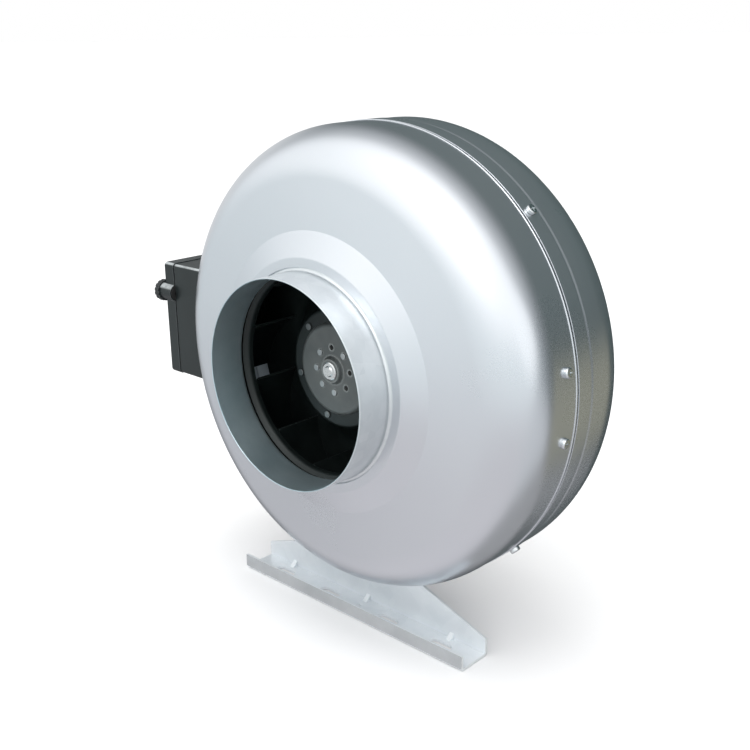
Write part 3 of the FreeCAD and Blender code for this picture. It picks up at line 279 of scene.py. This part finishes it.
def plastic(name, dark, light, rough=0.42, grain=1500.0, strength=0.18, edge=None, rim=None):
    g = Graph(name, 0.0005)
    g.set(Metallic=0.0, Specular_IOR_Level=0.36)
    cloud = g.noise(22.0, 4.0, 0.55)
    base = g.ramp(cloud, [(0.3, dark), (0.72, light)])
    if edge:
        # painted highlight: the edge colour is mixed in along the edges
        base = g.mix(g.edges(0.0007), base, edge)
    if rim:
        # painted highlight: faces turned up and to the front, towards (0, -0.62, 0.78), get the lighter rim colour,
        # mottled by noise
        where = g.node("ShaderNodeNewGeometry")
        d = g.node("ShaderNodeVectorMath", operation="DOT_PRODUCT")
        d.inputs[1].default_value = Vector((0.0, -0.62, 0.78)).normalized()
        g.nt.links.new(where.outputs["Normal"], d.inputs[0])
        highlight_mottle = g.remap(g.noise(90.0, 3.0, 0.6), 0.35, 0.6, 0.55, 1.0)
        base = g.mix(g.math("MULTIPLY", g.remap(d.outputs["Value"], 0.90, 0.975, 0.0, 1.0), highlight_mottle), base, rim)
    g.link(base, "Base Color")
    fine = g.noise(grain, 3.0, 0.55)
    g.link(g.remap(g.math("ADD", g.math("MULTIPLY", cloud, 0.7), g.math("MULTIPLY", fine, 0.3)), 0.3, 0.7, rough - 0.07, rough + 0.08), "Roughness")
    g.bump(fine, strength, 0.0004)
    return g.mat


def copper():
    g = Graph("copper_finish")
    g.set(Metallic=0.9)
    w = g.node("ShaderNodeTexWave", wave_type="RINGS", rings_direction="Y")
    w.inputs["Scale"].default_value = 900.0
    w.inputs["Distortion"].default_value = 1.5
    g.nt.links.new(g.obj, w.inputs["Vector"])
    g.link(g.ramp(w.outputs[1], [(0.2, (0.28, 0.10, 0.035)), (0.8, (0.62, 0.27, 0.11))]), "Base Color")
    g.set(Roughness=0.34)
    g.bump(w.outputs[1], 0.4, 0.0003)
    return g.mat


MATS = {
    "silver_paint": silver_paint(),
    "galvanised": galvanised(),
    "zinc_fastener": metal("zinc_finish", (0.62, 0.65, 0.66), (0.82, 0.84, 0.85), 0.24, 0.07, 1600.0, 0.08),
    "black_coated": black_coat(),
    "rotor_grey": rotor_grey(),
    "shaft_steel": metal("ground_steel_finish", (0.55, 0.56, 0.56), (0.78, 0.79, 0.79), 0.27, 0.08, 2200.0, 0.06),
    "motor_aluminium": metal("cast_aluminium_finish", (0.44, 0.45, 0.46), (0.62, 0.63, 0.64), 0.48, 0.08, 700.0, 0.4),
    "stator_steel": metal("laminated_steel_finish", (0.17, 0.17, 0.18), (0.30, 0.30, 0.31), 0.42, 0.08, 1200.0, 0.3),
    "copper_winding": copper(),
    # the edge and rim colours of box_plastic and screw_plastic below are painted highlights
    "box_plastic": plastic("box_plastic_finish", (0.0065, 0.0105, 0.0110), (0.013, 0.0185, 0.0190), 0.33, 1500.0, 0.06, (0.15, 0.165, 0.17), (0.42, 0.45, 0.46)),
    "screw_plastic": plastic("screw_plastic_finish", (0.010, 0.012, 0.013), (0.018, 0.021, 0.022), 0.32, 1900.0, 0.05, (0.16, 0.17, 0.175)),
    "black_rubber": plastic("rubber_finish", (0.011, 0.011, 0.011), (0.020, 0.020, 0.020), 0.62, 1100.0, 0.25),
    "terminal_plastic": plastic("terminal_plastic_finish", (0.60, 0.60, 0.55), (0.72, 0.71, 0.66), 0.40, 1200.0, 0.10),
    "capacitor_can": plastic("capacitor_finish", (0.50, 0.51, 0.52), (0.62, 0.63, 0.64), 0.36, 900.0, 0.08),
    "lead_jacket": plastic("lead_finish", (0.012, 0.012, 0.013), (0.022, 0.022, 0.023), 0.45, 1400.0, 0.12),
}

foot_zinc = galvanised("galvanised_foot_finish", (0.78, 0.82, 0.85), (0.86, 0.895, 0.92), 0.38, 0.32, 110.0, False, True)
duct_zinc = galvanised("galvanised_duct_finish", (0.63, 0.665, 0.685), (0.72, 0.75, 0.765), 0.36, 0.85, 120.0, True)
# painted shade: the motor bracket gets near-black zinc so it reads as lying in the shade inside the fan
bracket_painted_shade_zinc = galvanised("galvanised_bracket_painted_shade_finish", (0.050, 0.056, 0.057), (0.085, 0.092, 0.093), 0.48, 0.85, 170.0)
inner_zinc = metal("zinc_inner_finish", (0.30, 0.32, 0.325), (0.46, 0.48, 0.485), 0.36, 0.07, 1600.0, 0.08)
rivet_zinc = metal("rivet_finish", (0.12, 0.13, 0.13), (0.20, 0.21, 0.21), 0.42, 0.07, 1600.0, 0.08)
own_finish = {"foot_bracket": foot_zinc, "motor_bracket": bracket_painted_shade_zinc, "rotor_plugs": inner_zinc, "impeller_rivets": rivet_zinc}
slot_of = {p["node"]: p["material_slot"] for p in frame["record"]["subparts"]}
for node, obj in frame["nodes"].items():
    mat = own_finish.get(node, MATS[slot_of[node]])
    if obj.data.materials:
        for k in range(len(obj.data.materials)):
            obj.material_slots[k].material = mat
    else:
        obj.data.materials.append(mat)


# ------------------------------------------------------------------ mesh helpers
def rounded(points, steps=10):
    """points: (r, s, radius); returns the outline with real arcs in its corners."""
    out = []
    n = len(points)
    for i in range(n):
        r, s, rad = points[i]
        p = Vector((r, s))
        if rad <= 0:
            out.append((p.x, p.y))
            continue
        a = Vector(points[i - 1][:2]) - p
        b = Vector(points[(i + 1) % n][:2]) - p
        a.normalize()
        b.normalize()
        dot = max(-1.0, min(1.0, a.dot(b)))
        half = math.acos(dot) / 2
        d = rad / math.tan(half)
        centre = p + (a + b).normalized() * (rad / math.sin(half))
        v0, v1 = p + a * d - centre, p + b * d - centre
        ang = math.atan2(v0.x * v1.y - v0.y * v1.x, v0.dot(v1))
        k = max(3, int(steps * abs(ang) / (math.pi / 2)) + 1)
        for j in range(k + 1):
            t = ang * j / k
            c, q = math.cos(t), math.sin(t)
            out.append((centre.x + v0.x * c - v0.y * q, centre.y + v0.x * q + v0.y * c))
    return out


def lathe(name, profile, segs=320, start=0.0, sweep=360.0):
    """Closed profile in (radius, station) mm turned about the fan axis."""
    bm = bmesh.new()
    full = abs(sweep - 360.0) < 1e-6
    rings = segs if full else segs + 1
    grid = []
    for k in range(rings):
        a = start + sweep * k / segs
        grid.append([bm.verts.new(fan(r, a, s)) for r, s in profile])
    n = len(profile)
    for k in range(segs):
        A, B = grid[k], grid[(k + 1) % rings] if full else grid[k + 1]
        for j in range(n):
            bm.faces.new((A[j], A[(j + 1) % n], B[(j + 1) % n], B[j]))
    if not full:
        bm.faces.new(grid[0])
        bm.faces.new(grid[-1])
    return finish_mesh(name, bm)


def finish_mesh(name, bm, smooth=True, sharp=32.0):
    bmesh.ops.remove_doubles(bm, verts=bm.verts, dist=1e-7)
    bmesh.ops.recalc_face_normals(bm, faces=bm.faces)
    me = D.meshes.new(name)
    bm.to_mesh(me)
    bm.free()
    ob = D.objects.new(name, me)
    scene.collection.objects.link(ob)
    if smooth:
        for p in me.polygons:
            p.use_smooth = True
        me.set_sharp_from_angle(angle=math.radians(sharp))
    return ob


def dress(ob, slot, body, *nodes):
    ob.data.materials.clear()
    ob.data.materials.append(MATS[slot])
    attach(ob, body)
    if nodes:
        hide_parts(*nodes)
    return ob


# ------------------------------------------------------------------ casing shells
K_RING, K_DISH = 0.3374, 0.1317
ring_z = 27.6 + (101.3 - 77.0) * K_RING


def shell_dish(flip):
    def s(v):
        return 213.2 - v if flip else v
    tr, td = math.sqrt(1 + K_RING ** 2), math.sqrt(1 + K_DISH ** 2)
    bi = 101.3 - (tr - td) / (K_RING - K_DISH)
    outer = [(77.0, s(27.6), 0.3), (83.5, s(28.05), 4.0), (101.0, s(ring_z + 0.0), 1.5), (169.3, s(ring_z + 68.0 * K_DISH), 39.0)]
    inner = [(168.3, s(ring_z + td + 67.0 * K_DISH), 38.0), (bi, s(27.6 + tr + (bi - 77.0) * K_RING), 4.0), (77.0, s(27.6 + tr), 0.3)]
    return outer, inner


outer, inner = shell_dish(False)
front_profile = outer + [
    (169.3, 99.5, 0.5), (169.85, 99.8, 0.3), (169.85, 100.8, 0.3), (168.7, 100.9, 0.15),
    (168.7, 114.5, 0.3), (167.9, 114.5, 0.3), (167.9, 101.9, 0.3), (168.3, 100.7, 0.3)] + inner
front_shell = dress(lathe("front_shell_pressed", rounded(front_profile, 22)), "silver_paint", "housing", "front_shell")
outer, inner = shell_dish(True)
rear_profile = outer + [
    (169.3, 119.6, 1.5), (168.95, 117.9, 0.4), (168.95, 116.9, 0.4), (169.8, 115.7, 0.6), (169.8, 102.3, 0.35), (169.0, 102.3, 0.25), (169.0, 114.8, 0.3), (168.3, 115.5, 0.3)] + inner
rear_shell = dress(lathe("rear_shell_pressed", rounded(rear_profile, 22)), "silver_paint", "housing", "rear_shell")

# ------------------------------------------------------------------ duct collars
root = 27.6 + math.sqrt(1 + K_RING ** 2) - 2.5 * K_RING
ca = math.sqrt(1 + K_RING ** 2)


def collar(name, node, flip):
    def s(v):
        return 213.2 - v if flip else v
    prof = [
        (74.5, s(0.0), 0.45), (74.5, s(root), 2.0), (86.0, s(root + 11.5 * K_RING), 0.3),
        (86.0, s(root + ca + 11.5 * K_RING), 0.3), (73.5, s(root + ca - K_RING), 3.0), (73.5, s(0.0), 0.45)]
    ob = dress(lathe(name, rounded(prof, 12)), "galvanised", "housing", node)
    ob.data.materials[0] = duct_zinc
    return ob


collar("inlet_collar_rolled", "inlet_collar", False)
collar("outlet_collar_rolled", "outlet_collar", True)

# ------------------------------------------------------------------ terminal box
def node_faces(node):
    """World-space vertices and faces of a body, without its stored normals."""
    src = frame["nodes"][node]
    pts = [src.matrix_world @ v.co for v in src.data.vertices]
    return pts, [tuple(p.vertices) for p in src.data.polygons]


pts, faces = node_faces("terminal_box_body")
bm = bmesh.new()
vs = []
for p in pts:
    lo, hi = -0.00965, 0.08335
    if p.x < -0.1790:                       # walls of the screw holes stay inside the skin
        if math.hypot(p.y + 0.00765, p.z - AXIS - 0.0236) < 0.0029:
            lo = -0.0090
        if math.hypot(p.y - 0.08135, p.z - AXIS + 0.0236) < 0.0029:
            hi = 0.0827
    vs.append(bm.verts.new((p.x, min(max(p.y, lo), hi), p.z)))
for f in faces:
    try:
        bm.faces.new([vs[k] for k in f])
    except ValueError:
        pass
bmesh.ops.remove_doubles(bm, verts=bm.verts, dist=1e-6)
bmesh.ops.dissolve_degenerate(bm, edges=bm.edges, dist=2e-6)
dress(finish_mesh("terminal_box_body_moulded", bm, True, 28.0), "box_plastic", "housing", "terminal_box_body")

# thumb screws of the lid: fluted caps with a bar across a dished face
bm = bmesh.new()
CAP = [(0.0, 213.7), (4.6, 213.7), (5.2, 214.1), (5.6, 214.8), (6.2, 215.0), (7.6, 215.0), (8.5, 214.6), (9.0, 213.9), (9.0, 210.2),
       (8.8, 209.7), (8.3, 209.5), (7.35, 209.5), (7.35, 212.6), (0.0, 212.6)]
SEG = 168
for s0, h in ((62.0, 23.6), (151.0, -23.6)):
    cy, cz = FRONT + s0 / 1000.0, AXIS + h / 1000.0
    rings = []
    for k in range(SEG):
        a = 2 * math.pi * k / SEG
        flute = 0.55 * max(0.0, math.cos(14 * a)) ** 1.5
        row = []
        for j, (r, x) in enumerate(CAP):
            q = r - flute if 6 <= j <= 10 else r
            row.append(bm.verts.new((-x / 1000.0, cy + q * math.cos(a) / 1000.0, cz + q * math.sin(a) / 1000.0)))
        rings.append(row)
    for k in range(SEG):
        A, B = rings[k], rings[(k + 1) % SEG]
        for j in range(len(CAP) - 1):
            if CAP[j][0] == 0.0:
                bm.faces.new((A[j], A[j + 1], B[j + 1]))
            elif CAP[j + 1][0] == 0.0:
                bm.faces.new((A[j], A[j + 1], B[j]))
            else:
                bm.faces.new((A[j], A[j + 1], B[j + 1], B[j]))
    geom = bmesh.ops.create_cube(bm, size=1.0)["verts"]
    turn = Matrix.Rotation(math.radians(35), 4, "X")
    for v in geom:
        v.co = Matrix.Translation((-0.21405, cy, cz)) @ turn @ Vector((v.co.x * 0.0011, v.co.y * 0.0017, v.co.z * 0.0088))
bmesh.ops.remove_doubles(bm, verts=bm.verts, dist=1e-6)
dress(finish_mesh("lid_screw_caps", bm, True, 40.0), "screw_plastic", "housing", "lid_screws")

# ------------------------------------------------------------------ stage, light
floor_me = D.meshes.new("floor")
fb = bmesh.new()
bmesh.ops.create_grid(fb, x_segments=1, y_segments=1, size=60.0)
fb.to_mesh(floor_me)
fb.free()
floor = D.objects.new("floor", floor_me)
scene.collection.objects.link(floor)
floor.location = (0.0, 0.0, -0.0004)
fm = Graph("floor_finish")
fm.set(Roughness=0.9, Specular_IOR_Level=0.1)
fm.link(fm.ramp(fm.noise(3.0, 2.0, 0.5), [(0.3, (0.925, 0.925, 0.93)), (0.7, (0.94, 0.94, 0.94))]), "Base Color")
floor.data.materials.append(fm.mat)
floor.visible_glossy = False


def area(name, direction, distance, size, power, colour=(1, 1, 1), target=(0.0, 0.03, 0.19), size_y=None):
    ld = D.lights.new(name, "AREA")
    ld.shape = "RECTANGLE" if size_y else "SQUARE"
    ld.size = size
    if size_y:
        ld.size_y = size_y
    ld.energy = power
    ld.color = colour
    lo = D.objects.new(name, ld)
    scene.collection.objects.link(lo)
    d = Vector(direction).normalized()
    lo.location = Vector(target) + d * distance
    lo.rotation_euler = d.to_track_quat("Z", "Y").to_euler()
    return lo


key = area("key_softbox", (0.22, -0.60, 0.76), 2.2, 1.3, 13.0, (1.0, 0.995, 0.98))
key.visible_diffuse = False
top = area("top_softbox", (-0.05, -0.15, 1.0), 2.4, 1.8, 20.0, (0.985, 0.992, 1.0))
top.visible_glossy = False
inside = area("duct_softbox", (0.45, -0.85, 0.28), 2.6, 0.7, 5.0, (1.0, 0.995, 0.98))
inside.visible_glossy = False

world = D.worlds.new("studio")
scene.world = world
world.use_nodes = True
nt = world.node_tree
nt.nodes.clear()
wo = nt.nodes.new("ShaderNodeOutputWorld")
tc = nt.nodes.new("ShaderNodeTexCoord")
xyz = nt.nodes.new("ShaderNodeSeparateXYZ")
nt.links.new(tc.outputs["Generated"], xyz.inputs[0])


def along(axis, stops):
    """Colour that changes along one world axis; stops are (component of the direction, colour)."""
    m = nt.nodes.new("ShaderNodeMapRange")
    m.inputs["From Min"].default_value = -1.0
    nt.links.new(xyz.outputs[axis], m.inputs["Value"])
    r = nt.nodes.new("ShaderNodeValToRGB")
    els = r.color_ramp.elements
    while len(els) < len(stops):
        els.new(0.5)
    for e, (p, c) in zip(els, stops):
        e.position = (p + 1.0) / 2.0
        e.color = (*c, 1.0)
    nt.links.new(m.outputs[0], r.inputs[0])
    return r.outputs[0]


def blend(a, b, fac=1.0, mode="MULTIPLY"):
    n = nt.nodes.new("ShaderNodeMix")
    n.data_type = "RGBA"
    n.blend_type = mode
    n.clamp_result = False
    if isinstance(fac, float):
        n.inputs[0].default_value = fac
    else:
        nt.links.new(fac, n.inputs[0])
    nt.links.new(a, n.inputs[6])
    if isinstance(b, tuple):
        n.inputs[7].default_value = (*b, 1.0)
    else:
        nt.links.new(b, n.inputs[7])
    return n.outputs[2]


def lobe(direction, lo, hi):
    """Soft patch around a direction: 0 below the cosine lo, 1 above hi."""
    d = nt.nodes.new("ShaderNodeVectorMath")
    d.operation = "DOT_PRODUCT"
    d.inputs[1].default_value = Vector(direction).normalized()
    nt.links.new(tc.outputs["Generated"], d.inputs[0])
    m = nt.nodes.new("ShaderNodeMapRange")
    m.interpolation_type = "SMOOTHSTEP"
    m.inputs["From Min"].default_value = lo
    m.inputs["From Max"].default_value = hi
    nt.links.new(d.outputs["Value"], m.inputs["Value"])
    return m.outputs[0]


surround = along("Z", [
    (-1.0, (0.50, 0.485, 0.505)), (-0.5, (0.47, 0.46, 0.475)), (-0.34, (0.53, 0.535, 0.55)), (-0.22, (0.62, 0.655, 0.665)),
    (0.08, (0.69, 0.73, 0.74)), (0.2, (0.85, 0.87, 0.875)), (0.36, (0.95, 0.96, 0.96)), (1.0, (0.98, 0.98, 0.98))])
surround = blend(surround, along("Y", [
    (-1.0, (1, 1, 1)), (-0.14, (1, 1, 1)), (0.02, (0.80, 0.805, 0.81)), (0.16, (0.44, 0.45, 0.46)), (0.40, (0.27, 0.285, 0.295)), (0.58, (0.10, 0.115, 0.12)), (0.78, (0.042, 0.068, 0.067)), (1.0, (0.040, 0.065, 0.064))]))
surround = blend(surround, along("X", [(-1.0, (0.78, 0.79, 0.80)), (-0.7, (0.86, 0.87, 0.87)), (-0.45, (1, 1, 1)), (1.0, (1, 1, 1))]))
surround = blend(surround, (0.95, 0.965, 0.97), lobe((0.96, -0.06, 0.24), 0.93, 0.985), "MIX")
surround = blend(surround, (0.52, 0.525, 0.53), lobe((-0.93, 0.36, 0.02), 0.90, 0.985), "MIX")
surround = blend(surround, (0.46, 0.47, 0.485), lobe((0.82, 0.14, -0.55), 0.86, 0.98), "MIX")
surround = blend(surround, (0.24, 0.24, 0.245), lobe((0.30, 0.40, -0.87), 0.80, 0.97), "MIX")
surround = blend(surround, (0.20, 0.195, 0.145), lobe((0.51, 0.80, -0.34), 0.93, 0.99), "MIX")
bg = nt.nodes.new("ShaderNodeBackground")
nt.links.new(surround, bg.inputs[0])
bg.inputs[1].default_value = 1.55
white = nt.nodes.new("ShaderNodeBackground")
white.inputs[0].default_value = (1.0, 1.0, 1.0, 1.0)
soft = nt.nodes.new("ShaderNodeBackground")
nt.links.new(along("Z", [(-1.0, (0.20, 0.20, 0.205)), (0.0, (0.20, 0.205, 0.21)), (0.5, (0.62, 0.62, 0.62)), (1.0, (1.0, 1.0, 0.995))]), soft.inputs[0])
soft.inputs[1].default_value = 1.55
lp = nt.nodes.new("ShaderNodeLightPath")
m1 = nt.nodes.new("ShaderNodeMixShader")
nt.links.new(lp.outputs["Is Diffuse Ray"], m1.inputs[0])
nt.links.new(bg.outputs[0], m1.inputs[1])
nt.links.new(soft.outputs[0], m1.inputs[2])
m2 = nt.nodes.new("ShaderNodeMixShader")
nt.links.new(lp.outputs["Is Camera Ray"], m2.inputs[0])
nt.links.new(m1.outputs[0], m2.inputs[1])
nt.links.new(white.outputs[0], m2.inputs[2])
nt.links.new(m2.outputs[0], wo.inputs[0])
